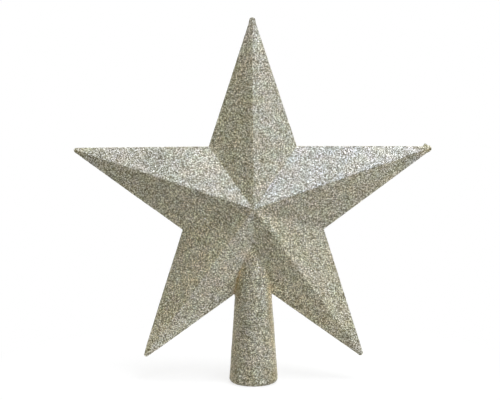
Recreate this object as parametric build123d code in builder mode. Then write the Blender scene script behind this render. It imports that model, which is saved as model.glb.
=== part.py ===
from build123d import *
from math import cos, hypot, radians, sin, sqrt, tan
import os

# Tree topper star: two faceted half shells glued edge to edge, with a tapered socket
# trapped between them. Millimetres, +Z up, the front of the star faces -Y, and the origin
# is the centre of the socket's mouth, on the plane of its rim.

# Star outline, seen from the front
star_points = 5
star_point_radius = 99.0        # centre to the sharp corner of a point, before rounding
star_notch_radius = 38.4        # centre to the corner between two points
point_rounding = 1.0            # at the end of each point
star_center_height = 92.3       # above the mouth of the socket

# Shells
star_half_depth = 17.7          # parting plane to the crown at the centre
edge_flat = 0.4                 # each shell's share of the star's outer edge
shell_wall = 1.6                # square to a facet

# Seam between the shells
tongue_width = 0.6
tongue_clearance = 0.1          # on each side of the tongue
seam_lip = 0.35                 # between the groove and the cavity
seam_skin = 0.4                 # between the groove and the facet outside it
seam_glue_thickness = 0.25      # over the end of the tongue
seam_end_gap = 1.5              # between the end of the seam's tongue and the socket's glue

# Locating pegs, one in each point
peg_circle_radius = 55.0
peg_radius = 1.5
peg_length = 4.0                # past the parting plane
peg_clearance = 0.1             # around the peg in its hole
peg_end_clearance = 0.5         # beyond the end of the peg
peg_lead_in = 0.4               # chamfer at the peg's end
boss_radius = 3.0
inner_clearance = 0.15          # bosses and ribs stop this short of the parting plane

# Socket
socket_bore_radius = 9.2        # straight part of the bore, at the mouth
socket_bore_length = 8.0
socket_rim_wall = 3.35          # at the mouth
socket_end_side_wall = 1.9      # side wall at the closed end
socket_end_wall = 1.6           # across the closed end
socket_taper = 4.0              # outside, degrees a side
socket_end_drop = 10.3          # closed end below the star's centre
rim_rounding = 2.1              # outer edge of the mouth
bore_lead_in = 0.5              # chamfer on the inner edge of the mouth
rim_flat_share = 0.05           # least share of the rim's wall that stays flat
flange_lip = 1.6                # stands out from the socket around its closed end
flange_thickness = 2.0

# Seat of the socket in the shells
socket_glue_gap = 0.5           # between the socket and the shell wall, filled with glue
cradle_clearance = 0.1          # between the socket and the cradle ribs
cradle_rib_thickness = 1.5
cradle_side = 3.5               # ribs reach this far past the flange on each side

# Star corners and slopes
half_step = 180 / star_points
first_point_angle = half_step - 90
corner_run = star_point_radius - star_notch_radius * cos(radians(half_step))
corner_rise = star_notch_radius * sin(radians(half_step))
edge_distance = star_point_radius * corner_rise / hypot(corner_run, corner_rise)
crown_height = star_half_depth - edge_flat
facet_slope = crown_height / edge_distance
facet_stretch = sqrt(1 + facet_slope**2)

# A star scaled about its centre has every facet moved in by the same distance
cavity_scale = 1 - shell_wall * facet_stretch / crown_height
wall_middle_scale = (1 + cavity_scale) / 2
land_width = edge_distance * (1 - cavity_scale)

# Tongue and groove, as distances in from the star's edge
groove_inner_inset = land_width - seam_lip
groove_outer_inset = groove_inner_inset - tongue_width - 2 * tongue_clearance
groove_depth = edge_flat + groove_outer_inset * facet_slope - seam_skin * facet_stretch
tongue_height = groove_depth - seam_glue_thickness

# Socket heights and radii
socket_length = star_center_height - socket_end_drop
socket_mouth_radius = socket_bore_radius + socket_rim_wall
flange_bottom = socket_length - flange_thickness
rounding_room = socket_rim_wall * (1 - rim_flat_share)
rounding_fit = min(1, rounding_room / (rim_rounding + bore_lead_in))


def socket_radius(height):
    return socket_mouth_radius - tan(radians(socket_taper)) * height


socket_bore_end_radius = socket_radius(socket_length - socket_end_wall) - socket_end_side_wall
flange_radius = socket_radius(flange_bottom) + flange_lip

# Cradle ribs below and above the flange
cradle_half_width = flange_radius + cradle_side
lower_rib_top = flange_bottom - cradle_clearance
lower_rib_bottom = lower_rib_top - cradle_rib_thickness
upper_rib_bottom = socket_length + cradle_clearance

# The seam stops on each side of the socket
notch_height = star_center_height - star_notch_radius
seam_break_half_width = socket_radius(notch_height) + socket_glue_gap + seam_end_gap

# Parting plane, once facing out of the front shell and once facing out of the back shell
star_center = (0, 0, star_center_height)
front_plane = Plane(star_center, x_dir=(1, 0, 0), z_dir=(0, -1, 0))
back_plane = Plane(star_center, x_dir=(-1, 0, 0), z_dir=(0, 1, 0))


def star_corner(index, scale):
    radius = star_notch_radius if index % 2 == 0 else star_point_radius
    angle = radians(index * half_step - 90)
    return (scale * radius * cos(angle), scale * radius * sin(angle))


# Flat star with sharp points and a corner at the bottom
def sharp_star(scale):
    with BuildSketch() as outline:
        with BuildLine():
            Polyline(*[star_corner(index, scale) for index in range(2 * star_points)], close=True)
        make_face()
    return outline.sketch


# Outline of the whole star, with its points rounded
def rounded_star():
    star = sharp_star(1)
    with BuildSketch() as outline:
        add(star)
        points = outline.vertices().sort_by_distance((0, 0, 0))[star_points:]
        fillet(points, radius=point_rounding)
    return outline.sketch


# Half star: a low upright edge, then flat facets that rise to the crown
def star_half(plane, scale):
    star = sharp_star(scale)
    base = plane.offset(edge_flat)
    crown = plane.offset(edge_flat + scale * crown_height).origin
    with BuildPart() as half:
        with BuildSketch(plane):
            add(star)
        extrude(amount=edge_flat)
        loft([base * star.face(), Vertex(crown)], ruled=True)
    return half.part


# Room for the socket: wide enough for glue in the wall, close fitting in the cradle
def socket_space():
    with BuildPart() as space:
        with BuildSketch(Plane.XZ):
            with BuildLine():
                Polyline(
                    (0, 0),
                    (socket_radius(0) + socket_glue_gap, 0),
                    (socket_radius(lower_rib_bottom) + socket_glue_gap, lower_rib_bottom),
                    (socket_radius(lower_rib_bottom) + cradle_clearance, lower_rib_bottom),
                    (socket_radius(lower_rib_top) + cradle_clearance, lower_rib_top),
                    (flange_radius + cradle_clearance, lower_rib_top),
                    (flange_radius + cradle_clearance, upper_rib_bottom),
                    (0, upper_rib_bottom),
                    close=True,
                )
            make_face()
        revolve(axis=Axis.Z)
    return space.part


# Shell with its bosses and cradle, fused to the middle of the wall, and the socket's saddle
def half_shell(plane):
    outside = star_half(plane, 1)
    wall_middle = star_half(plane, wall_middle_scale)
    cavity = star_half(plane, cavity_scale)
    edge = rounded_star()
    space = socket_space()
    with BuildPart() as fittings:
        with BuildSketch(plane.offset(inner_clearance)):
            with PolarLocations(peg_circle_radius, star_points, start_angle=first_point_angle):
                Circle(boss_radius)
            for rib_bottom in (lower_rib_bottom, upper_rib_bottom):
                with Locations((0, rib_bottom - star_center_height)):
                    Rectangle(
                        2 * cradle_half_width,
                        cradle_rib_thickness,
                        align=(Align.CENTER, Align.MIN),
                    )
        extrude(amount=star_half_depth)
        add(wall_middle, mode=Mode.INTERSECT)
    with BuildPart() as shell:
        with BuildSketch(plane):
            add(edge)
        extrude(amount=star_half_depth)
        add(outside, mode=Mode.INTERSECT)
        add(cavity, mode=Mode.SUBTRACT)
        add(fittings.part)
        add(space, mode=Mode.SUBTRACT)
    return shell.part


# Band that follows the star's edge and stops beside the socket
def seam_band(outer_inset, inner_inset):
    outer = sharp_star(1 - outer_inset / edge_distance)
    inner = sharp_star(1 - inner_inset / edge_distance)
    with BuildSketch() as band:
        add(outer)
        add(inner, mode=Mode.SUBTRACT)
        Rectangle(
            2 * seam_break_half_width,
            star_point_radius,
            align=(Align.CENTER, Align.MAX),
            mode=Mode.SUBTRACT,
        )
    return band.sketch


front_half = half_shell(front_plane)
back_half = half_shell(back_plane)
tongue_band = seam_band(groove_outer_inset + tongue_clearance, groove_inner_inset - tongue_clearance)
groove_band = seam_band(groove_outer_inset, groove_inner_inset)

# Front shell: tongue and pegs reach past the parting plane
with BuildPart() as front_shell:
    add(front_half)
    with BuildSketch(back_plane):
        add(tongue_band)
    extrude(amount=tongue_height)
    with BuildSketch(back_plane.offset(-inner_clearance)):
        with PolarLocations(peg_circle_radius, star_points, start_angle=first_point_angle):
            Circle(peg_radius)
    extrude(amount=inner_clearance + peg_length)
    peg_ends = front_shell.edges().group_by(Axis.Y)[-1]
    chamfer(peg_ends, length=peg_lead_in)

# Back shell: groove and peg holes
with BuildPart() as back_shell:
    add(back_half)
    with BuildSketch(back_plane):
        add(groove_band)
    extrude(amount=groove_depth, mode=Mode.SUBTRACT)
    with BuildSketch(back_plane):
        with PolarLocations(peg_circle_radius, star_points, start_angle=first_point_angle):
            Circle(peg_radius + peg_clearance)
    extrude(amount=peg_length + peg_end_clearance, mode=Mode.SUBTRACT)

# Glue in the bottom of the groove, over the end of the tongue
with BuildPart() as seam_glue:
    with BuildSketch(back_plane.offset(tongue_height)):
        add(groove_band)
    extrude(amount=seam_glue_thickness)

# Socket: tapered outside, straight then tapered bore, closed end with a flange around it
with BuildPart() as socket_cone:
    with BuildSketch(Plane.XZ):
        with BuildLine():
            Polyline(
                (socket_bore_radius, 0),
                (socket_mouth_radius, 0),
                (socket_radius(flange_bottom), flange_bottom),
                (flange_radius, flange_bottom),
                (flange_radius, socket_length),
                (0, socket_length),
                (0, socket_length - socket_end_wall),
                (socket_bore_end_radius, socket_length - socket_end_wall),
                (socket_bore_radius, socket_bore_length),
                close=True,
            )
        make_face()
    revolve(axis=Axis.Z)
    rim_edge = socket_cone.edges().group_by(Axis.Z)[0].sort_by(SortBy.RADIUS)[-1]
    fillet(rim_edge, radius=rounding_fit * rim_rounding)
    bore_edge = socket_cone.edges().group_by(Axis.Z)[0].sort_by(SortBy.RADIUS)[0]
    chamfer(bore_edge, length=rounding_fit * bore_lead_in)

# Glue between the socket and the star's wall, all the way round
front_wall = star_half(front_plane, 1)
back_wall = star_half(back_plane, 1)
front_cavity = star_half(front_plane, cavity_scale)
back_cavity = star_half(back_plane, cavity_scale)
with BuildPart() as socket_glue:
    add(front_wall)
    add(back_wall)
    add([front_cavity, back_cavity], mode=Mode.SUBTRACT)
    Cone(
        socket_radius(0) + socket_glue_gap,
        socket_radius(lower_rib_bottom) + socket_glue_gap,
        lower_rib_bottom,
        align=(Align.CENTER, Align.CENTER, Align.MIN),
        mode=Mode.INTERSECT,
    )
    Cone(
        socket_radius(0),
        socket_radius(lower_rib_bottom),
        lower_rib_bottom,
        align=(Align.CENTER, Align.CENTER, Align.MIN),
        mode=Mode.SUBTRACT,
    )

os.makedirs("parts", exist_ok=True)
pieces = {
    "front_shell": front_shell,
    "back_shell": back_shell,
    "socket_cone": socket_cone,
    "seam_glue": seam_glue,
    "socket_glue": socket_glue,
}
for name, piece in pieces.items():
    piece.part.label = name
    export_step(piece.part, f"parts/{name}.step")
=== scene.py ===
import bmesh
import bpy
import math
import random
from mathutils import Matrix, Vector, noise
from mathutils.geometry import delaunay_2d_cdt


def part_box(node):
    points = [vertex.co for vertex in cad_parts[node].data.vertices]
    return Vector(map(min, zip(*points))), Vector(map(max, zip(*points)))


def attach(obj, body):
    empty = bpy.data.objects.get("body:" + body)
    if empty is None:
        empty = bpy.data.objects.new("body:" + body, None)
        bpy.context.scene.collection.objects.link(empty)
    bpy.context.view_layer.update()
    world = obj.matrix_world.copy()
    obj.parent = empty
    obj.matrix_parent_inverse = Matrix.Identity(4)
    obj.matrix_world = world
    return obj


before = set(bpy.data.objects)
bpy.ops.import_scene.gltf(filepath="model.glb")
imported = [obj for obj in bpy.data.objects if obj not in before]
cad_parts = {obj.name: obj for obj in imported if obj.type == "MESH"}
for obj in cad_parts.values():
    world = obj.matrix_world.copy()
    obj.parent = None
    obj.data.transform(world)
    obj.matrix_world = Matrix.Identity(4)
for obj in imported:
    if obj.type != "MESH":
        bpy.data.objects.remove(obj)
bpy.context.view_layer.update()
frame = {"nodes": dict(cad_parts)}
scene = bpy.context.scene
scene.view_settings.view_transform = "Standard"
mm = 0.001
print("solids loaded", ", ".join(frame["nodes"]))

# sizes of the moulded star and socket under the glitter, as the solids have them
star = {
    "points": 5,
    "pointRadius": 99.0 * mm,   # centre to a sharp point
    "notchRadius": 38.4 * mm,   # centre to the corner between two points
    "pointRounding": 1.0 * mm,
    "centerHeight": 92.3 * mm,
    "halfDepth": -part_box("front_shell")[0][1],
    "edgeFlat": 0.4 * mm,       # half of the star's upright edge
}
socket = {
    "mouthRadius": 12.55 * mm,  # before the rim is rounded
    "taper": math.radians(4.0),
    "rimRounding": 2.1 * mm,
}

# slopes and angles that follow from those sizes
halfStep = math.pi / star["points"]
cornerRun = star["pointRadius"] - star["notchRadius"] * math.cos(halfStep)
cornerRise = star["notchRadius"] * math.sin(halfStep)
pointHalfAngle = math.atan2(cornerRise, cornerRun)
edgeAngle = math.pi / 2 - pointHalfAngle             # from a ridge to the square of its edge
notchAngle = edgeAngle - halfStep                    # from a valley to the square of its edge
edgeDistance = star["pointRadius"] * math.sin(pointHalfAngle)
crownHeight = star["halfDepth"] - star["edgeFlat"]
facetSlope = crownHeight / edgeDistance
facetStretch = math.hypot(1, facetSlope)
ridgeSlope = facetSlope * math.sin(edgeAngle)
valleySlope = facetSlope * math.sin(notchAngle)
tipArcRadius = star["pointRadius"] - star["pointRounding"] / math.sin(pointHalfAngle)


# shader wiring: a wire is a node's output that takes part in Python sums
class Wire:
    def __init__(self, tree, output=None):
        self.tree = tree
        self.output = output

    # any node: its settings go in first, then values or wires into its sockets
    def node(self, kind, settings=None, inputs=None):
        made = self.tree.nodes.new(kind)
        for name, value in (settings or {}).items():
            setattr(made, name, value)
        for name, value in (inputs or {}).items():
            target = made.inputs[name]
            if isinstance(value, Wire):
                self.tree.links.new(value.output, target)
            else:
                target.default_value = value
        return Wire(self.tree, made.outputs[0] if len(made.outputs) else None)

    # another output of the same node
    def out(self, name):
        return Wire(self.tree, self.output.node.outputs[name])

    def sum(self, operation, first, second):
        return self.node("ShaderNodeMath", {"operation": operation}, {0: first, 1: second})

    def __add__(self, other):
        return self.sum("ADD", self, other)

    def __radd__(self, other):
        return self.sum("ADD", other, self)

    def __sub__(self, other):
        return self.sum("SUBTRACT", self, other)

    def __rsub__(self, other):
        return self.sum("SUBTRACT", other, self)

    def __mul__(self, other):
        return self.sum("MULTIPLY", self, other)

    def __rmul__(self, other):
        return self.sum("MULTIPLY", other, self)

    def __lt__(self, other):
        return self.sum("LESS_THAN", self, other)

    # the reflected form of less than
    def __gt__(self, other):
        return self.sum("GREATER_THAN", self, other)

    # a mix node has its colours on sockets 6 and 7 and gives them out on 2
    def mixColour(self, factor, first, second, blend="MIX"):
        settings = {"data_type": "RGBA", "blend_type": blend}
        return self.node("ShaderNodeMix", settings, {0: factor, 6: first, 7: second}).out(2)

    def vector(self, operation, first, second=None, scale=None):
        inputs = {0: first}
        if second is not None:
            inputs[1] = second
        if scale is not None:
            inputs["Scale"] = scale
        return self.node("ShaderNodeVectorMath", {"operation": operation}, inputs)


def newMaterial(name):
    material = bpy.data.materials.new(name)
    material.use_nodes = True
    material.node_tree.nodes.clear()
    return material, Wire(material.node_tree)


def finishMaterial(wires, inputs):
    shader = wires.node("ShaderNodeBsdfPrincipled", None, inputs)
    wires.node("ShaderNodeOutputMaterial", None, {"Surface": shader})


def clouds(wires, scale, detail):
    place = wires.node("ShaderNodeTexCoord").out("Object")
    return wires.node("ShaderNodeTexNoise", None, {"Vector": place, "Scale": scale, "Detail": detail})


# glitter flakes in clear lacquer
glitter = {
    "flakeSize": 0.33 * mm,
    "champagneDark": (0.51, 0.43, 0.14, 1),     # dark flakes are a deeper champagne
    "champagnePale": (0.51, 0.522, 0.535, 1),
    "paleByTone": 0.8,
    "silver": (0.66, 0.65, 0.61, 1),
    "silverShare": 0.02,
    "silverRoughness": 0.42,
    "champagneRoughness": 0.45,
    "roughnessRange": 0.1,      # from flake to flake
    "toneLow": 0.1,             # darkest flakes, beside the mean
    "toneRange": 2.7,
    "tilt": 0.2,                # how far flakes lean
    "lacquerTan": (0.73, 0.58, 0.41, 1),
    "poolEvens": 0.6,           # how far pooled lacquer evens out the flakes
    "mottleSize": 5.5 * mm,
    "mottleDetail": 0.0,
    "mottlePink": (1.06, 0.98, 0.98, 1),
    "mottleGreen": (0.94, 1.02, 0.99, 1),
    "mottleYellow": (1.01, 1.0, 0.9, 1),
    "mottleBlue": (0.99, 1.0, 1.1, 1),
}


def glitterFinish():
    material, wires = newMaterial("glitter_in_lacquer")

    def layer(name):
        return wires.node("ShaderNodeAttribute", {"attribute_name": name}).out("Fac")

    # each cell is one flake, with a tone, a gloss and a lean of its own
    flakes = wires.node("ShaderNodeTexVoronoi", None, {
        "Vector": wires.node("ShaderNodeTexCoord").out("Object"),
        "Scale": 1 / glitter["flakeSize"],
    })
    chance = wires.node("ShaderNodeSeparateColor", None, {"Color": flakes.out("Color")})
    tone = chance.out("Red")
    isSilver = chance.out("Green") < glitter["silverShare"]
    gloss = chance.out("Blue")
    pool = layer("lacquerPoolAndShade")
    level = glitter["toneLow"] + tone * tone * glitter["toneRange"]
    # the brightness layer carries painted light and shade, with random unevenness on the socket
    level = (level + (1 - level) * pool * glitter["poolEvens"]) * layer("flakeToneAndPaintedLight")
    levelColour = wires.node("ShaderNodeCombineColor", None, {0: level, 1: level, 2: level})
    # the pale layer is a painted light tint: paler where light is painted, yellower where shade is
    pale = layer("paintedLightPale") + tone * glitter["paleByTone"]
    champagne = wires.mixColour(pale, glitter["champagneDark"], glitter["champagnePale"])
    colour = wires.mixColour(1.0, champagne, levelColour, "MULTIPLY")
    colour = wires.mixColour(isSilver, colour, glitter["silver"])

    # faint mottle over many flakes, and tan where lacquer pools or runs, with painted shade in the
    # crease round the socket's root
    mottle = clouds(wires, 1 / glitter["mottleSize"], glitter["mottleDetail"])
    hues = wires.node("ShaderNodeSeparateColor", None, {"Color": mottle.out("Color")})
    pinkGreen = wires.mixColour(hues.out("Red"), glitter["mottlePink"], glitter["mottleGreen"])
    yellowBlue = wires.mixColour(hues.out("Green"), glitter["mottleYellow"], glitter["mottleBlue"])
    colour = wires.mixColour(1.0, colour, pinkGreen, "MULTIPLY")
    colour = wires.mixColour(1.0, colour, yellowBlue, "MULTIPLY")
    colour = wires.mixColour(pool, colour, glitter["lacquerTan"], "MULTIPLY")

    # the lean is random about the middle of its range
    middle = (0.5, 0.5, 0.5)
    lean = wires.node("ShaderNodeTexWhiteNoise", None, {"Vector": flakes.out("Position")}).out("Color")
    push = wires.vector("SCALE", wires.vector("SUBTRACT", lean, middle), scale=glitter["tilt"])
    straight = wires.node("ShaderNodeNewGeometry").out("Normal")
    leaning = wires.vector("NORMALIZE", wires.vector("ADD", straight, push))
    smoother = isSilver * (glitter["champagneRoughness"] - glitter["silverRoughness"])
    finishMaterial(wires, {
        "Base Color": colour,
        "Metallic": isSilver * (1 - pool),
        "Roughness": glitter["champagneRoughness"] - smoother + gloss * glitter["roughnessRange"],
        "Normal": leaning,
    })
    return material


# moulded plastic under the glitter and inside the bore
plastic = {
    "shellTone": (0.56, 0.52, 0.42),
    "socketTone": (0.54, 0.50, 0.40),
    "darker": 0.86,             # the tone wanders between these two shares of itself
    "paler": 1.06,
    "cloudScale": 180.0,
    "cloudDetail": 3.0,
    "grainScale": 2600.0,
    "grainDetail": 2.0,
    "bumpStrength": 0.12,
    "bumpHeight": 0.05 * mm,
    "roughness": 0.36,
    "roughnessRange": 0.16,
}


def plasticFinish(name, tone):
    material, wires = newMaterial(name)
    cloud = clouds(wires, plastic["cloudScale"], plastic["cloudDetail"])
    grain = clouds(wires, plastic["grainScale"], plastic["grainDetail"])
    dark = tuple(plastic["darker"] * part for part in tone) + (1,)
    pale = tuple(plastic["paler"] * part for part in tone) + (1,)
    bump = wires.node("ShaderNodeBump", None, {
        "Strength": plastic["bumpStrength"],
        "Distance": plastic["bumpHeight"],
        "Height": grain,
    })
    finishMaterial(wires, {
        "Base Color": wires.mixColour(cloud, dark, pale),
        "Roughness": plastic["roughness"] + grain * plastic["roughnessRange"],
        "Normal": bump,
    })
    return material


# dried glue in the seam and round the socket's root
glue = {
    "dark": (0.34, 0.23, 0.12, 1),
    "pale": (0.55, 0.44, 0.30, 1),
    "cloudScale": 420.0,
    "cloudDetail": 4.0,
    "bumpStrength": 0.3,
    "bumpHeight": 0.1 * mm,
    "roughness": 0.38,
    "roughnessRange": 0.2,
}


def glueFinish():
    material, wires = newMaterial("dried_tan_glue")
    cloud = clouds(wires, glue["cloudScale"], glue["cloudDetail"])
    bump = wires.node("ShaderNodeBump", None, {
        "Strength": glue["bumpStrength"],
        "Distance": glue["bumpHeight"],
        "Height": cloud,
    })
    finishMaterial(wires, {
        "Base Color": wires.mixColour(cloud, glue["dark"], glue["pale"]),
        "Roughness": glue["roughness"] + cloud * glue["roughnessRange"],
        "Normal": bump,
    })
    return material


# glitter coat over each half of the star
coat = {
    "thickness": 0.3 * mm,
    "flake": 0.62 * mm,         # spacing of the flakes' corners
    "scatter": 0.3,             # sideways, as a share of the spacing
    "clearOfBorder": 0.42,      # share of the spacing kept free beside borders and creases
    "relief": 0.05 * mm,        # corners stand this much in or out
    "edgeRelief": 0.06 * mm,
    "edgeRound": 0.16 * mm,
    "edgeRoundDrop": 0.2 * mm,
    "tipSteps": 8,              # round each point
    "archExtra": 4,             # more steps on half of the arch, which rises as it goes round
    "ridgeWidth": 0.45 * mm,    # lacquer softens ridges and fills valleys
    "valleyWidth": 0.7 * mm,
    "innerGap": 0.02 * mm,
    "rootWidth": 2.4 * mm,      # lacquer pools this far from the socket
    "rootLiftTop": 0.2 * mm,
    "rootLiftSide": 0.45 * mm,
    "stainAndShadeTop": 0.25,           # how tan the pooled lacquer is round the socket, with painted shade in the crease
    "stainAndShadeLeft": 1.0,
    "stainAndShadeRight": 0.45,
    # painted light tint on the front: facets that face the lamps get paler flakes and shaded ones
    # yellower, by point and by side of its ridge
    # points count anticlockwise from the top one, and side 1 is the anticlockwise one
    "paintedLightFacets": {
        (0, 1): -0.03,
        (0, -1): 0.1,
        (1, -1): 0.15,
        (2, 1): 0.1,
        (2, -1): -0.05,
        (4, 1): 0.3,
        (4, -1): 0.05,
    },
    # painted light and shade on the front, as patches of brighter or duller flakes: place from the
    # star's centre, reach, change
    "paintedLightAndShadePatches": (
        (-24.0 * mm, -27.0 * mm, 24.0 * mm, 0.15),
        (-24.0 * mm, -52.0 * mm, 10.0 * mm, 0.12),
        (-42.0 * mm, -68.0 * mm, 14.0 * mm, 0.25),
        (26.0 * mm, -52.0 * mm, 12.0 * mm, 0.12),
        (40.0 * mm, -66.0 * mm, 9.0 * mm, 0.15),
        (68.0 * mm, 30.0 * mm, 18.0 * mm, 0.12),
        (4.0 * mm, 88.0 * mm, 4.0 * mm, 0.25),
        (-23.9 * mm, 25.9 * mm, 6.0 * mm, 0.2),
        (-48.4 * mm, 24.3 * mm, 6.0 * mm, -0.2),
        (-27.5 * mm, -8.5 * mm, 7.0 * mm, 0.25),
        (15.7 * mm, -3.3 * mm, 6.0 * mm, -0.12),
        (-12.0 * mm, -39.7 * mm, 5.0 * mm, 0.35),
        (13.5 * mm, -44.0 * mm, 5.0 * mm, 0.2),
        (-1.5 * mm, -23.0 * mm, 2.5 * mm, 0.5),
        (4.0 * mm, -22.0 * mm, 4.0 * mm, -0.2),
        (-56.0 * mm, -74.0 * mm, 8.0 * mm, 0.12),
        (48.0 * mm, -67.0 * mm, 5.0 * mm, -0.15),
    ),
    # painted light tint at the tips, as paler or yellower flakes, in the same terms
    "paintedLightTips": (
        (0.0 * mm, 95.0 * mm, 12.0 * mm, 0.08),
        (-6.0 * mm, 88.0 * mm, 5.0 * mm, 0.2),
        (-88.0 * mm, 33.5 * mm, 6.0 * mm, -0.35),
        (-86.0 * mm, 21.0 * mm, 6.0 * mm, 0.2),
        (88.0 * mm, 34.0 * mm, 6.0 * mm, -0.5),
        (86.0 * mm, 21.0 * mm, 6.0 * mm, 0.3),
        (57.0 * mm, -78.0 * mm, 9.0 * mm, 0.2),
    ),
    # clumps on the edge, or thin lacquer: place from the star's centre, height, reach
    "clumps": (
        (0.0 * mm, 97.0 * mm, 0.3 * mm, 3.0 * mm),
        (89.6 * mm, 31.0 * mm, 1.4 * mm, 1.2 * mm),
        (92.0 * mm, 30.6 * mm, 0.5 * mm, 3.4 * mm),
        (-36.5 * mm, -11.9 * mm, -0.2 * mm, 30.0 * mm),
        (-58.0 * mm, -80.0 * mm, -0.2 * mm, 9.0 * mm),
    ),
    "seed": 7,
}
borderMargin = coat["clearOfBorder"] * coat["flake"]

# how the lines where star and socket meet are found
meeting = {
    "rootLowest": 1.3,          # the root is sought between these shares of the notch radius,
    "rootHighest": 0.2,         # below the star's centre
    "halvings": 40,
    "edgeGuess": 0.25,          # first guess for the edge, as a share of the notch radius
    "edgeRounds": 12,
    "nearBelow": 0.3,           # the socket is near from this share of the notch radius downwards
    "nearAside": 2.0,           # and this many mouth radii aside
}


# star surface, in x to the right and z up from the star's centre
# angle from the nearest ridge, and that ridge's point, counted anticlockwise from the top
def ridgeFold(x, z):
    angle = math.atan2(z, x) - math.pi / 2
    turn = round(angle / (2 * halfStep))
    return angle - turn * 2 * halfStep, turn


# how far a place is out towards its edge, and how far from its ridge and its valley
def facetDistances(x, z):
    fold = ridgeFold(x, z)[0]
    radius = math.hypot(x, z)
    reach = radius * math.cos(edgeAngle - abs(fold))
    fromRidge = radius * math.sin(abs(fold))
    fromValley = radius * math.sin(halfStep - abs(fold))
    return reach, fromRidge, fromValley


def softened(distance, width):
    return max(0, width - distance) ** 2 / (2 * width)


# height over the star's middle plane, lifted off the moulded facet
def facetHeight(x, z, lift):
    reach, fromRidge, fromValley = facetDistances(x, z)
    height = star["halfDepth"] - facetSlope * reach + lift * facetStretch
    height -= ridgeSlope * softened(fromRidge, coat["ridgeWidth"])
    height += valleySlope * softened(fromValley, coat["valleyWidth"])
    return height


def socketRadius(height):
    return socket["mouthRadius"] - math.tan(socket["taper"]) * height


# the matching turn on the front half, as the back mirrors the front
def foldedTurn(turn):
    if abs(turn) < math.pi / 2:
        return turn
    return math.copysign(math.pi - abs(turn), turn)


# lacquer pooled round the root, by the turn from the front: its height, and its tan stain with painted
# shade, heaviest on the left
def rootPool(turn):
    folded = foldedTurn(turn)
    aside = math.sin(folded) ** 2
    lift = coat["rootLiftTop"] + (coat["rootLiftSide"] - coat["rootLiftTop"]) * aside
    stainAndShadeSide = coat["stainAndShadeLeft"] if folded < 0 else coat["stainAndShadeRight"]
    stainAndShade = coat["stainAndShadeTop"] + (stainAndShadeSide - coat["stainAndShadeTop"]) * aside ** 2
    return lift, stainAndShade


# height at which the socket, grown by a gap, enters the star's surface
def rootHeight(turn, gap, lift):
    low = star["centerHeight"] - meeting["rootLowest"] * star["notchRadius"]
    high = star["centerHeight"] - meeting["rootHighest"] * star["notchRadius"]
    for step in range(meeting["halvings"]):
        middle = (low + high) / 2
        radius = socketRadius(middle) + gap
        surface = facetHeight(radius * math.sin(turn), middle - star["centerHeight"], lift)
        if surface > radius * math.cos(turn):
            high = middle
        else:
            low = middle
    return (low + high) / 2


# where the star's edge, moved out by an offset, meets the socket beside the lower notch
def edgeAtSocket(side, offset, depth):
    notchSlope = math.tan(notchAngle)
    notch = (edgeDistance + offset) / math.cos(notchAngle)
    x = meeting["edgeGuess"] * star["notchRadius"]
    for step in range(meeting["edgeRounds"]):
        z = -notch - x * notchSlope
        radius = socketRadius(star["centerHeight"] + z) + coat["innerGap"]
        x = math.sqrt(radius ** 2 - depth ** 2)
    return Vector((side * x, -notch - x * notchSlope))


# how far the coat's surface is from the socket, beside the lower notch
def socketClearance(x, z):
    above = z > -meeting["nearBelow"] * star["notchRadius"]
    aside = abs(x) > meeting["nearAside"] * socket["mouthRadius"]
    if above or aside:
        return star["pointRadius"]
    height = facetHeight(x, z, coat["thickness"])
    return math.hypot(x, height) - socketRadius(star["centerHeight"] + z)


# points between two ends, and quads between two lines of points
def along(start, end, spacing):
    count = max(1, round((end - start).length / spacing))
    return [start.lerp(end, step / count) for step in range(1, count)]


def quads(line, following):
    return list(zip(line, following, following[1:], line[1:]))


def direction(angle):
    return Vector((math.cos(angle), math.sin(angle)))


# stations round the star's edge, each with its place on the moulded edge and its way outwards
def edgeStations():
    stations = []
    notchMitre = 1 / math.cos(notchAngle)
    for index in range(star["points"]):
        ridge = -math.pi / 2 + halfStep + index * 2 * halfStep
        center = direction(ridge) * tipArcRadius
        before = direction(ridge - edgeAngle)
        after = direction(ridge + edgeAngle)
        tipStart = center + before * star["pointRounding"]
        tipEnd = center + after * star["pointRounding"]
        notchBefore = direction(ridge - halfStep) * star["notchRadius"]
        notchAfter = direction(ridge + halfStep) * star["notchRadius"]
        wayAfter = direction(ridge + halfStep) * notchMitre
        if index == 0:
            notchBefore = edgeAtSocket(1, 0, star["edgeFlat"])
            stations.append((notchBefore, before))
        if index == star["points"] - 1:
            notchAfter = edgeAtSocket(-1, 0, star["edgeFlat"])
            wayAfter = after
        stations += [(place, before) for place in along(notchBefore, tipStart, coat["flake"])]
        for step in range(coat["tipSteps"] + 1):
            outward = direction(ridge - edgeAngle + 2 * edgeAngle * step / coat["tipSteps"])
            stations.append((center + outward * star["pointRounding"], outward))
        stations += [(place, after) for place in along(tipEnd, notchAfter, coat["flake"])]
        stations.append((notchAfter, wayAfter))
    return stations


# how far a clump pushes the edge out at a place
def clumpHeight(place):
    height = 0
    for x, z, clump, reach in coat["clumps"]:
        away = (place - Vector((x, z))).length / reach
        height += clump * max(0, 1 - away ** 2)
    return height


# one ring of the edge, with its ends set against the socket
def edgeRing(stations, offsets, depth):
    ring = [place + outward * offset for (place, outward), offset in zip(stations, offsets)]
    ring[0] = edgeAtSocket(1, offsets[0], depth)
    ring[-1] = edgeAtSocket(-1, offsets[-1], depth)
    return ring


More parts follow.
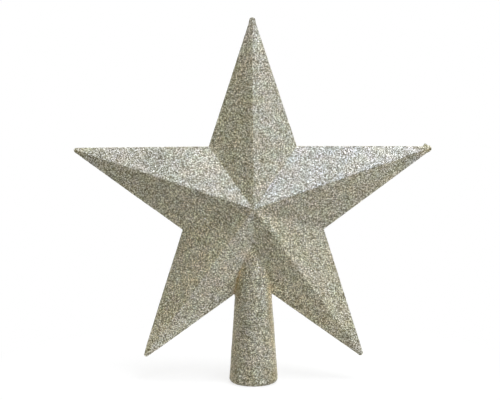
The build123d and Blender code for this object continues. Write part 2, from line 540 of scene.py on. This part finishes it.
# rings of the edge and their depths, from the facets round to the moulded edge
def edgeRings():
    stations = edgeStations()
    chance = random.Random(coat["seed"])
    wobble = [chance.uniform(-1, 1) * coat["edgeRelief"] for station in stations]
    clumps = [clumpHeight(place) for place, outward in stations]
    thickness = coat["thickness"]
    topOffset = thickness - coat["edgeRound"]
    topDepth = star["edgeFlat"] - topOffset * facetSlope + thickness * facetStretch
    top = [topOffset + clump for clump in clumps]
    middle = [thickness + push + clump for push, clump in zip(wobble, clumps)]
    seam = [thickness + push + clump for push, clump in zip(reversed(wobble), clumps)]
    inner = [coat["innerGap"]] * len(stations)
    rows = (
        (top, topDepth),
        (middle, topDepth - coat["edgeRoundDrop"]),
        (seam, 0),
        (inner, 0),
        (inner, star["edgeFlat"]),
    )
    return [(edgeRing(stations, offsets, depth), depth) for offsets, depth in rows]


# arch where the socket comes out, from the left end of the edge to the right end
def archLine(archEnd, steps, lift):
    line = []
    for step in range(1, steps):
        turn = archEnd * (2 * step / steps - 1)
        height = rootHeight(turn, coat["innerGap"], lift)
        radius = socketRadius(height) + coat["innerGap"]
        line.append(Vector((radius * math.sin(turn), height - star["centerHeight"])))
    return line


# ridges and valleys run from the crown to the border, and the lowest valley to the top of the arch
def creaseLines(border, archTop):
    crown = Vector((0, 0))
    straightFirst = 1000        # a point straight along the way counts before a farther one
    creases = []
    for index in range(2 * star["points"]):
        way = direction(-math.pi / 2 + index * halfStep)
        end = max(border, key=lambda point: point.normalized().dot(way) * straightFirst + point.length)
        if index == 0:
            end = archTop
        creases.append([crown] + along(crown, end, coat["flake"]) + [end])
    return creases


# whether a scattered corner keeps clear of the star's creases and of its coat's border
def insideCoat(x, z):
    reach, fromRidge, fromValley = facetDistances(x, z)
    rim = coat["thickness"] - coat["edgeRound"] - borderMargin
    if min(fromRidge, fromValley) <= borderMargin or reach > edgeDistance + rim:
        return False
    turn = ridgeFold(x, z)[1]
    outward = direction(math.pi / 2 + turn * 2 * halfStep)
    fromTip = Vector((x, z)) - outward * tipArcRadius
    if fromTip.dot(outward) > 0 and fromTip.length > star["pointRounding"] + rim:
        return False
    return socketClearance(x, z) > borderMargin


# flat flakes: a scattered lattice, cut to a closed border and to crease lines
# sources tells which given points each corner stands for, border first, and numberOf the reverse
def flakeTriangles(border, creases, keep, chance):
    points = []
    edges = []
    numbers = {}
    samePlaceDigits = 5
    onlyInside = 1
    tolerance = 1e-5

    def number(point):
        key = (round(point.x / mm, samePlaceDigits), round(point.y / mm, samePlaceDigits))
        if key not in numbers:
            numbers[key] = len(points)
            points.append(Vector((point.x, point.y)))
        return numbers[key]

    for line in [border + border[:1]] + creases:
        ids = [number(point) for point in line]
        edges += list(zip(ids, ids[1:]))
    spacing = coat["flake"]
    rowStep = spacing * math.sqrt(3) / 2
    lowX = min(point.x for point in border)
    highX = max(point.x for point in border)
    lowZ = min(point.y for point in border)
    highZ = max(point.y for point in border)
    for row in range(int((highZ - lowZ) / rowStep) + 2):
        for column in range(int((highX - lowX) / spacing) + 2):
            x = lowX + (column + 0.5 * (row % 2)) * spacing
            z = lowZ + row * rowStep
            x += spacing * coat["scatter"] * chance.uniform(-1, 1)
            z += spacing * coat["scatter"] * chance.uniform(-1, 1)
            if keep(x, z):
                points.append(Vector((x, z)))
    cut = delaunay_2d_cdt([point / mm for point in points], edges, [], onlyInside, tolerance)
    flat = [place * mm for place in cut[0]]
    triangles = cut[2]
    sources = [set(ids) for ids in cut[3]]
    numberOf = {source: index for index, ids in enumerate(sources) for source in ids}
    return flat, triangles, sources, numberOf


# places on the bake maps, as shares of their width and height
bakeLayout = {
    "stripHeight": 0.18,        # each pair of facets fills one strip
    "stripLeft": 0.004,
    "stripWidth": 0.988,
    "stripFoot": 0.02,          # as shares of the strip
    "stripRise": 0.94,
    "roomForEdge": 1.03,        # the coat reaches past the moulded facet
    "rowsFoot": 0.905,          # the star's edge takes thin rows above the strips, two for each point
    "rowHeight": 0.0085,
    "rowLeft": 0.005,
    "rowWidth": 0.98,
    "ringHeight": 0.35,         # as a share of the row
    "lastRing": 2,              # further rings are hidden
    "hiddenFoot": 0.992,        # and what is hidden takes the rest
    "hiddenHeight": 0.006,
    "hiddenWidth": 0.9,
    "socketLeft": 0.004,        # the socket's coat is unrolled, with its hidden rings above
    "socketWidth": 0.992,
    "socketHeight": 0.95,
    "ringsFoot": 0.955,
    "ringsStep": 0.006,
    "ringsHeight": 0.005,
}


# how near a place on a facet is to the notch and to the tip, each from 0 to 1
def facetShares(x, z, turn, side):
    fold, here = ridgeFold(x, z)
    if here != turn:
        fold -= (turn - here) * 2 * halfStep
    radius = math.hypot(x, z)
    towardNotch = radius * math.sin(fold * side) / (star["notchRadius"] * math.sin(halfStep))
    towardTip = radius * math.cos(fold) - towardNotch * star["notchRadius"] * math.cos(halfStep)
    return towardNotch, towardTip / star["pointRadius"]


def facetMap(x, z, turn, side):
    reach = facetDistances(x, z)[0]
    shrink = 1 / max(bakeLayout["roomForEdge"], reach / edgeDistance)
    towardNotch, towardTip = facetShares(x * shrink, z * shrink, turn, side)
    u = bakeLayout["stripLeft"] + bakeLayout["stripWidth"] * towardTip
    v = bakeLayout["stripFoot"] + bakeLayout["stripRise"] * towardNotch
    if side < 0:
        u = 1 - u
        v = 1 - v
    return u, bakeLayout["stripHeight"] * (turn % star["points"] + v)


def edgeMap(level, step, row, rowSteps):
    share = step / rowSteps - row
    rise = row + bakeLayout["ringHeight"] * min(level, bakeLayout["lastRing"])
    u = bakeLayout["rowLeft"] + bakeLayout["rowWidth"] * share
    return u, bakeLayout["rowsFoot"] + bakeLayout["rowHeight"] * rise


def hiddenMap(place):
    across = place[0] / (2 * star["pointRadius"])
    upward = place[2] / (2 * star["pointRadius"])
    u = 0.5 + bakeLayout["hiddenWidth"] * across
    return u, bakeLayout["hiddenFoot"] + bakeLayout["hiddenHeight"] * upward


# sum of soft patches on the star's front at a place
def patchSum(paintedLightAndShadePatches, place):
    total = 0
    for x, z, reach, change in paintedLightAndShadePatches:
        away = (place - Vector((x, z))).length / reach
        total += change * math.exp(-away ** 2)
    return total


# painted light and shade on the front, and its painted light tint, as how bright and how pale its
# flakes are
def frontPaintedLight(place, turn, side):
    bright = 1 + patchSum(coat["paintedLightAndShadePatches"], place)
    pale = coat["paintedLightFacets"].get((turn % star["points"], side), 0)
    return bright, pale + patchSum(coat["paintedLightTips"], place)


def newPiece(name, places, faces, finish):
    mesh = bpy.data.meshes.new(name)
    mesh.from_pydata(places, [], faces)
    mesh.update()
    mesh.materials.append(finish)
    piece = bpy.data.objects.new(name, mesh)
    scene.collection.objects.link(piece)
    return piece


# values that the glitter finish reads, painted light and shade among them, and each face's spots on the
# bake map
def writeLayers(mesh, pools, brights, pales, spots):
    layers = {
        "lacquerPoolAndShade": ("POINT", pools),
        "flakeToneAndPaintedLight": ("FACE", brights),
        "paintedLightPale": ("FACE", pales),
    }
    for name, (domain, values) in layers.items():
        layer = mesh.attributes.new(name, "FLOAT", domain)
        layer.data.foreach_set("value", values)
    bakeMap = mesh.uv_layers.new(name="OFBake")
    for face in mesh.polygons:
        for corner, spot in zip(face.loop_indices, spots[face.index]):
            bakeMap.data[corner].uv = spot


def dropLoosePoints(piece):
    work = bmesh.new()
    work.from_mesh(piece.data)
    loose = [point for point in work.verts if not point.link_faces]
    bmesh.ops.delete(work, geom=loose, context="VERTS")
    work.to_mesh(piece.data)
    work.free()


def faceOutwards(piece):
    work = bmesh.new()
    work.from_mesh(piece.data)
    bmesh.ops.recalc_face_normals(work, faces=work.faces)
    openEdges = sum(1 for edge in work.edges if len(edge.link_faces) != 2)
    work.to_mesh(piece.data)
    work.free()
    print(piece.name, "triangles and quads", len(piece.data.polygons), "open edges", openEdges)


# one half of the star's coat: front is -1 and back is 1 along y
def starCoat(name, front, finish):
    chance = random.Random(coat["seed"] + front)
    rings = edgeRings()
    top, topDepth = rings[0]
    middleDepth = rings[1][1]
    archEnd = math.atan2(top[0].x, topDepth)
    halfArch = round(archEnd * socketRadius(star["centerHeight"]) / coat["flake"]) + coat["archExtra"]
    arch = archLine(archEnd, 2 * halfArch, coat["thickness"])
    innerArch = archLine(archEnd, 2 * halfArch, coat["innerGap"])
    border = top + arch
    creases = creaseLines(border, arch[halfArch - 1])
    flat, triangles, sources, numberOf = flakeTriangles(border, creases, insideCoat, chance)
    places = []
    pools = []

    def addPoint(point, depth, pool):
        places.append((point.x, front * depth, point.y + star["centerHeight"]))
        pools.append(pool)
        return len(places) - 1

    # outer surface
    for index, point in enumerate(flat):
        onBorder = any(source < len(border) for source in sources[index])
        relief = 0 if onBorder else coat["relief"] * chance.uniform(-1, 1)
        # tan round the root: the lacquer's stain and painted shade, heaviest on the left
        pool = max(0, 1 - socketClearance(point.x, point.y) / coat["rootWidth"])
        turn = math.atan2(point.x, facetHeight(point.x, point.y, coat["thickness"]))
        rootLift, stainAndShade = rootPool(turn)
        lift = coat["thickness"] + relief + rootLift * pool ** 2
        addPoint(point, max(facetHeight(point.x, point.y, lift), middleDepth), pool * stainAndShade)
    faces = []
    brights = []
    pales = []
    spots = []
    for triangle in triangles:
        center = (flat[triangle[0]] + flat[triangle[1]] + flat[triangle[2]]) / 3
        fold, turn = ridgeFold(center.x, center.y)
        side = 1 if fold > 0 else -1
        # painted light and shade and a painted light tint on the front; the back has none
        bright, pale = frontPaintedLight(center, turn, side) if front < 0 else (1, 0)
        faces.append(tuple(triangle))
        brights.append(bright)
        pales.append(pale)
        spots.append([facetMap(*flat[index], turn, side) for index in triangle])

    # edge
    edge = [[numberOf[index] for index in range(len(top))]]
    for ring, depth in rings[1:]:
        edge.append([addPoint(point, depth, 0) for point in ring])
    rowSteps = len(top) / (2 * star["points"])
    for level, (ring, following) in enumerate(zip(edge, edge[1:])):
        faces += quads(ring, following)
        for step in range(len(ring) - 1):
            row = int(step / rowSteps)
            corners = ((level, step), (level + 1, step), (level + 1, step + 1), (level, step + 1))
            spots.append([edgeMap(*corner, row, rowSteps) for corner in corners])

    # wall of the arch, and the inner layer on the moulded facets
    innerEdge = edge[-1]
    archRing = [numberOf[index] for index in range(len(top), len(border))]
    innerArchRing = []
    for point in innerArch:
        innerArchRing.append(addPoint(point, facetHeight(point.x, point.y, coat["innerGap"]), 1))
    innerCrown = addPoint(Vector((0, 0)), star["halfDepth"] + coat["innerGap"], 0)
    outerLine = [edge[0][-1]] + archRing + [edge[0][0]]
    innerLine = [innerEdge[-1]] + innerArchRing + [innerEdge[0]]
    innerLoop = innerEdge + innerArchRing
    hidden = quads(outerLine, innerLine)
    hidden += [tuple(ring[end] for ring in edge) for end in (0, -1)]
    hidden += [(a, b, innerCrown) for a, b in zip(innerLoop, innerLoop[1:] + innerLoop[:1])]
    faces += hidden
    spots += [[hiddenMap(places[index]) for index in face] for face in hidden]
    brights += [1] * (len(faces) - len(brights))
    pales += [0] * (len(faces) - len(pales))
    piece = newPiece(name, places, faces, finish)
    writeLayers(piece.data, pools, brights, pales, spots)
    faceOutwards(piece)
    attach(piece, "root")


# glitter coat on the socket, unrolled as turns round the socket and lengths along its side
socketCoat = {
    "unrollRadius": 10.5 * mm,
    "arcSteps": 5,
    "rimGrowth": 1.5,           # the coat grows to its thickness within two thirds of the rim
    "lump": 0.1 * mm,           # uneven lacquer
    "lumpSize": 7.0 * mm,
    "paintedShadeFront": 0.875,       # painted shade in front, duller than the star's flakes, and painted sheen at the sides, brighter
    "paintedSheenSide": 1.2,
    "sidePower": 4,
    "brightChance": 0.3,        # and uneven from place to place
    "paintedSheenPatches": (            # painted sheen, as paler flakes, in the same terms as the patches below
        (14, 35 * mm, 28, 45 * mm, 0.07),
    ),
    "paintedLightAndShadePatches": (                # painted light and shade, as brighter or duller flakes: turn, height, half width, half length, change
        (10, 60 * mm, 60, 12 * mm, 0.18),
        (70, 42 * mm, 18, 22 * mm, 0.27),
        (-15, 34 * mm, 20, 8 * mm, -0.12),
        (14, 32 * mm, 16, 20 * mm, 0.1),
        (-30, 4 * mm, 40, 5 * mm, 0.12),
        (35, 4 * mm, 25, 5 * mm, -0.1),
        (-38, 64 * mm, 10, 5 * mm, 0.2),
        (-12, 64 * mm, 10, 4 * mm, -0.22),
        (-10, 69 * mm, 15, 3 * mm, 0.3),
        (12, 64 * mm, 10, 5 * mm, 0.2),
        (36, 65 * mm, 12, 6 * mm, -0.2),
        (-55, 59 * mm, 25, 6 * mm, 0.35),
        (62, 49 * mm, 16, 4 * mm, 0.3),
    ),
    "runs": (                   # tan runs of lacquer: turn, height, half width, half length, strength
        (-72, 18 * mm, 22, 30 * mm, 0.35),
        (-50, 10 * mm, 14, 6 * mm, 0.25),
        (-62, 52 * mm, 22, 7 * mm, 0.5),
        (60, 36 * mm, 13, 22 * mm, 0.45),
        (55, 5 * mm, 25, 4 * mm, 0.35),
        (-42, 60 * mm, 18, 5 * mm, 0.25),
    ),
    "seed": 21,
}
rimReach = math.tan(socket["taper"]) + 1 / math.cos(socket["taper"])
rimCenter = socket["mouthRadius"] - socket["rimRounding"] * rimReach
rimSweep = math.pi / 2 + socket["taper"]
rimLength = rimSweep * socket["rimRounding"]
rimTop = socket["rimRounding"] * (1 + math.sin(socket["taper"]))


# radius and height on the socket's side, lifted off it
def socketSide(length, lift):
    if length < rimLength:
        angle = length / socket["rimRounding"] - math.pi / 2
        grown = socket["rimRounding"] + lift * min(1, length / rimLength * socketCoat["rimGrowth"])
        height = socket["rimRounding"] + grown * math.sin(angle)
        return rimCenter + grown * math.cos(angle), max(0, height)
    height = rimTop + (length - rimLength) * math.cos(socket["taper"])
    return socketRadius(height) + lift, height


def sideLength(height):
    return rimLength + (height - rimTop) / math.cos(socket["taper"])


# height at which the socket's coat runs into the star's coat
def coatTop(turn, gap, lift):
    folded = abs(foldedTurn(turn))
    root = rootHeight(folded, gap, lift)
    offset = (edgeDistance + lift) / math.cos(notchAngle)
    acrossEdge = socketRadius(root) * math.sin(folded)
    return max(root, star["centerHeight"] - offset - acrossEdge * math.tan(notchAngle))


# sum of soft spots on the socket's side at a turn and a height
def spotSum(spots, turn, height):
    total = 0
    for spotTurn, spotHeight, halfWidth, halfLength, strength in spots:
        aside = (math.degrees(turn) - spotTurn) / halfWidth
        away = (height - spotHeight) / halfLength
        total += strength * math.exp(-aside ** 2 - away ** 2)
    return total


def lacquerLump(turn, length):
    unroll = socketCoat["unrollRadius"]
    around = Vector((math.sin(turn), math.cos(turn), length / unroll))
    return socketCoat["lump"] * noise.noise(around * unroll / socketCoat["lumpSize"])


# painted shade in front, painted sheen at the sides and painted light and shade in patches on the
# socket, before chance
def socketPaintedLight(turn, height):
    aside = math.sin(turn) ** socketCoat["sidePower"]
    bright = socketCoat["paintedShadeFront"] + (socketCoat["paintedSheenSide"] - socketCoat["paintedShadeFront"]) * aside
    return bright + spotSum(socketCoat["paintedLightAndShadePatches"], turn, height)


def socketPlace(turn, length, lift):
    radius, height = socketSide(length, lift)
    return radius * math.sin(turn), -radius * math.cos(turn), height


def socketMap(turn, share):
    u = bakeLayout["socketLeft"] + bakeLayout["socketWidth"] * (turn / math.pi + 1) / 2
    return u, bakeLayout["socketHeight"] * share


def hiddenRingMap(level, left, right):
    low = bakeLayout["ringsFoot"] + bakeLayout["ringsStep"] * level
    high = low + bakeLayout["ringsHeight"]
    return [(left, low), (left, high), (right, high), (right, low)]


def glitterSocket(name, finish):
    chance = random.Random(socketCoat["seed"])
    unroll = socketCoat["unrollRadius"]
    thickness = coat["thickness"]
    columns = round(2 * math.pi * unroll / coat["flake"])
    turns = [math.pi * (2 * column / columns - 1) for column in range(columns + 1)]
    tops = [sideLength(coatTop(turn, thickness, thickness)) for turn in turns]
    longest = max(tops)
    bottomLine = [Vector((turn * unroll, 0)) for turn in turns]
    topLine = [Vector((turn * unroll, top)) for turn, top in zip(turns, tops)]
    rightSide = along(bottomLine[-1], topLine[-1], coat["flake"])
    leftSide = along(bottomLine[0], topLine[0], coat["flake"])
    border = bottomLine + rightSide + topLine[::-1] + leftSide[::-1]

    def columnAt(turn):
        return min(int((turn / math.pi + 1) / 2 * columns), columns)

    def keep(x, length):
        if abs(x) > math.pi * unroll - borderMargin or length < borderMargin:
            return False
        column = columnAt(x / unroll)
        return length < min(tops[column], tops[column + 1]) - borderMargin

    flat, triangles, sources, numberOf = flakeTriangles(border, [], keep, chance)

    # the two sides of the unrolled coat meet at the back
    bottomEnd = len(bottomLine) - 1
    topStart = bottomEnd + len(rightSide) + 1
    topEnd = topStart + len(topLine) - 1
    twin = {numberOf[bottomEnd]: numberOf[0], numberOf[topStart]: numberOf[topEnd]}
    for step in range(len(rightSide)):
        twin[numberOf[bottomEnd + 1 + step]] = numberOf[len(border) - 1 - step]

    # outer surface
    places = []
    pools = []
    flatSpots = []
    for index, point in enumerate(flat):
        turn = point.x / unroll
        hem = any(source <= bottomEnd or topStart <= source <= topEnd for source in sources[index])
        relief = 0 if hem else coat["relief"] * chance.uniform(-1, 1)
        lump = 0 if hem else lacquerLump(turn, point.y)
        # tan round the root with painted shade, and tan runs of lacquer
        pool = max(0, 1 - (tops[columnAt(turn)] - point.y) / coat["rootWidth"])
        rootLift, stainAndShade = rootPool(turn)
        place = socketPlace(turn, point.y, thickness + relief + lump + rootLift * pool ** 2)
        places.append(place)
        pools.append(min(1, pool * stainAndShade + spotSum(socketCoat["runs"], turn, place[2])))
        flatSpots.append(socketMap(turn, point.y / longest))
    faces = [tuple(twin.get(index, index) for index in triangle) for triangle in triangles]
    spots = [[flatSpots[index] for index in triangle] for triangle in triangles]

    # inner layer on the moulded side, down to the rim
    gap = coat["innerGap"]
    innerLengths = [[sideLength(coatTop(turn, gap, gap)) for turn in turns[:-1]]]
    for step in range(socketCoat["arcSteps"]):
        innerLengths.append([rimLength * (1 - step / socketCoat["arcSteps"])] * columns)
    rings = [[numberOf[topEnd - step] for step in range(columns)]]
    for lengths in innerLengths:
        rings.append(list(range(len(places), len(places) + columns)))
        places += [socketPlace(turn, length, gap) for turn, length in zip(turns, lengths)]
        pools += [0] * columns
    rings.append([numberOf[step] for step in range(columns)])
    for level, (ring, following) in enumerate(zip(rings, rings[1:])):
        faces += quads(ring + ring[:1], following + following[:1])
        spots += [hiddenRingMap(level, step / columns, (step + 1) / columns) for step in range(columns)]
    piece = newPiece(name, places, faces, finish)
    brights = []
    pales = []
    # painted shade, sheen and patches of light on the socket with random unevenness, and a painted
    # sheen as paler flakes
    for face in piece.data.polygons:
        turn = math.atan2(face.center.x, -face.center.y)
        bright = socketPaintedLight(turn, face.center.z)
        brights.append(bright * (1 + socketCoat["brightChance"] * chance.uniform(-1, 1)))
        pales.append(spotSum(socketCoat["paintedSheenPatches"], turn, face.center.z))
    writeLayers(piece.data, pools, brights, pales, spots)
    dropLoosePoints(piece)
    faceOutwards(piece)
    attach(piece, "root")


finish = glitterFinish()
starCoat("front_glitter", -1, finish)
starCoat("back_glitter", 1, finish)
glitterSocket("socket_glitter", finish)

# plastic and glue on the solids
shellPlastic = plasticFinish("champagne_plastic", plastic["shellTone"])
socketPlastic = plasticFinish("socket_plastic", plastic["socketTone"])
driedGlue = glueFinish()
finishes = {
    "front_shell": shellPlastic,
    "back_shell": shellPlastic,
    "socket_cone": socketPlastic,
    "seam_glue": driedGlue,
    "socket_glue": driedGlue,
}
for node, material in finishes.items():
    mesh = frame["nodes"][node].data
    mesh.materials.clear()
    mesh.materials.append(material)
print("solids finished")

# camera at the photograph's angle
view = {
    "distance": 500 * mm,
    "azimuth": math.radians(-1.06),
    "elevation": math.radians(4.4),
    "roll": math.radians(0.24),
    "lens": 69.16,
    "sensor": 36.0,
    "aimRight": -1.53 * mm,
    "aimUp": 3.4 * mm,
}


# a turn is measured from the front to the right, and a rise from the level
def bearing(turn, rise):
    return Vector((
        math.sin(turn) * math.cos(rise),
        -math.cos(turn) * math.cos(rise),
        math.sin(rise),
    ))


def addCamera():
    center = Vector((0, 0, star["centerHeight"]))
    back = bearing(view["azimuth"], view["elevation"])
    right = Vector((0, 0, 1)).cross(back).normalized()
    up = back.cross(right)
    spot = center + back * view["distance"]
    aim = center + right * view["aimRight"] + up * view["aimUp"]
    data = bpy.data.cameras.new("photo_camera")
    data.lens = view["lens"]
    data.sensor_width = view["sensor"]
    camera = bpy.data.objects.new("photo_camera", data)
    turn = (aim - spot).to_track_quat("-Z", "Y").to_matrix().to_4x4()
    camera.matrix_world = Matrix.Translation(spot) @ turn @ Matrix.Rotation(-view["roll"], 4, "Z")
    scene.collection.objects.link(camera)
    scene.camera = camera


# floor, world and lamps
studio = {
    "floorSize": 0.8,
    "shadowReach": 0.16,        # the floor is plain white further out
    "floorGlow": 0.77,          # what the camera sees of the floor before any lamp
    "floorSeen": (0.3, 0.3, 0.3, 1),
    "floorBounce": (0.735, 0.71, 0.66, 1),
    "white": (1, 1, 1, 1),
}
lamps = {
    "key_softbox": {
        "turn": 38, "rise": 58, "away": 0.9, "size": 0.45, "power": 4.3, "tint": (0.98, 1, 1.03),
    },
    "right_softbox": {
        "turn": 62, "rise": 8, "away": 0.9, "size": 0.24, "power": 1.1, "tint": (0.97, 1, 1.05),
    },
    "over_softbox": {
        "turn": 0, "rise": 85, "away": 1.2, "size": 0.6, "power": 7.0, "tint": (1, 1, 1),
    },
    "back_softbox": {
        "turn": 180, "rise": 35, "away": 0.9, "size": 0.45, "power": 3.0, "tint": (1, 1, 1),
    },
}


def addLamps():
    center = Vector((0, 0, star["centerHeight"]))
    for name, lamp in lamps.items():
        data = bpy.data.lights.new(name, "AREA")
        data.shape = "SQUARE"
        data.size = lamp["size"]
        data.energy = lamp["power"]
        data.color = lamp["tint"]
        holder = bpy.data.objects.new(name, data)
        toward = bearing(math.radians(lamp["turn"]), math.radians(lamp["rise"]))
        holder.location = center + toward * lamp["away"]
        holder.rotation_euler = (-toward).to_track_quat("-Z", "Y").to_euler()
        scene.collection.objects.link(holder)


# 1 where a thing is seen straight, mirrored or through another, and 0 where it only lights others
def seenByCamera(wires):
    path = wires.node("ShaderNodeLightPath")
    return path.out("Is Camera Ray") + path.out("Is Glossy Ray") + path.out("Is Transmission Ray")


def addFloor():
    half = studio["floorSize"] / 2
    mesh = bpy.data.meshes.new("studio_floor")
    corners = [(-half, -half, 0), (half, -half, 0), (half, half, 0), (-half, half, 0)]
    mesh.from_pydata(corners, [], [(0, 1, 2, 3)])
    floor = bpy.data.objects.new("studio_floor", mesh)
    material, wires = newMaterial("pale_floor")
    bounce = wires.node("ShaderNodeBsdfDiffuse", None, {"Color": studio["floorBounce"]})
    matte = wires.node("ShaderNodeBsdfDiffuse", None, {"Color": studio["floorSeen"]})
    glow = wires.node("ShaderNodeEmission", None, {"Strength": studio["floorGlow"]})
    shown = wires.node("ShaderNodeAddShader", None, {0: matte, 1: glow})
    white = wires.node("ShaderNodeEmission", None, {"Strength": 1.0})
    place = wires.node("ShaderNodeTexCoord").out("Object")
    away = wires.vector("LENGTH", place).out("Value") * (1 / studio["shadowReach"])
    fading = wires.node("ShaderNodeMixShader", None, {0: away * away, 1: shown, 2: white})
    both = wires.node("ShaderNodeMixShader", None, {0: seenByCamera(wires), 1: bounce, 2: fading})
    wires.node("ShaderNodeOutputMaterial", None, {"Surface": both})
    mesh.materials.append(material)
    scene.collection.objects.link(floor)


def addWorld():
    world = bpy.data.worlds.new("pale_studio")
    world.use_nodes = True
    world.node_tree.nodes.clear()
    wires = Wire(world.node_tree)
    sky = {"Color": studio["white"], "Strength": seenByCamera(wires)}
    white = wires.node("ShaderNodeBackground", None, sky)
    wires.node("ShaderNodeOutputWorld", None, {"Surface": white})
    scene.world = world


addCamera()
addLamps()
addFloor()
addWorld()
print("studio ready")
